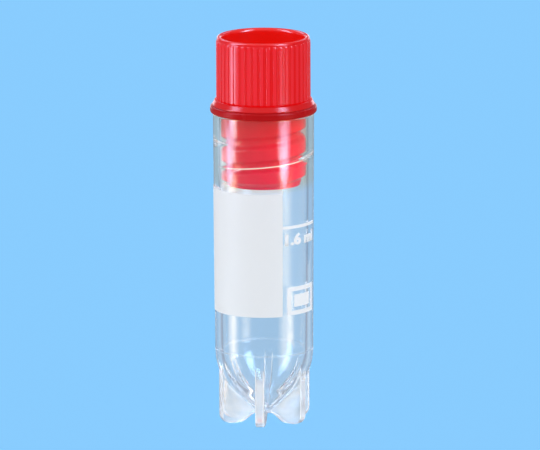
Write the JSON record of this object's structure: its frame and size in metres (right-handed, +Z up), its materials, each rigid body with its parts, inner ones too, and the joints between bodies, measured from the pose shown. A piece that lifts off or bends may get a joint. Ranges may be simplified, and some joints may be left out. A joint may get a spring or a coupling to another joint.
{
  "type": "cryovial",
  "caption": "Slim clear self-standing cryogenic storage tube with a star foot, a write-on patch, a soft gasket and a ribbed red screw cap whose threaded plug goes inside the neck.",
  "frame": {"origin": "centre of the plane that the feet stand on, on the tube's axis", "axes": "+Z up the tube's axis towards the cap, -Y the front with the write-on patch, +X to the right of the front"},
  "size_m": [0.0132, 0.0132, 0.0484],
  "materials": {
    "clear_plastic": "gloss",
    "red_plastic": "satin gloss",
    "red_silicone": "smooth",
    "white_ink": "matte"
  },
  "bodies": {
    "tube_body": {"tube": "clear_plastic", "write_on_patch": "white_ink", "graduation_line": "white_ink", "mark_frame": "white_ink"},
    "gasket_body": {"gasket": "red_silicone"},
    "cap_body": {"cap": "red_plastic"}
  },
  "joints": [
    {"name": "cap_lift", "type": "slide", "parent": "tube_body", "child": "gasket_body", "axis": [0, 0, 1], "range_m": [0, 0.01]},
    {"name": "cap_turn", "type": "hinge", "parent": "gasket_body", "child": "cap_body", "pos_m": [0, 0, 0.04], "axis": [0, 0, 1], "range_deg": [0, 1205]}
  ],
  "couplings": [
    {"joint": "cap_turn", "follows": "cap_lift", "rad_per_m": 2094.4}
  ]
}
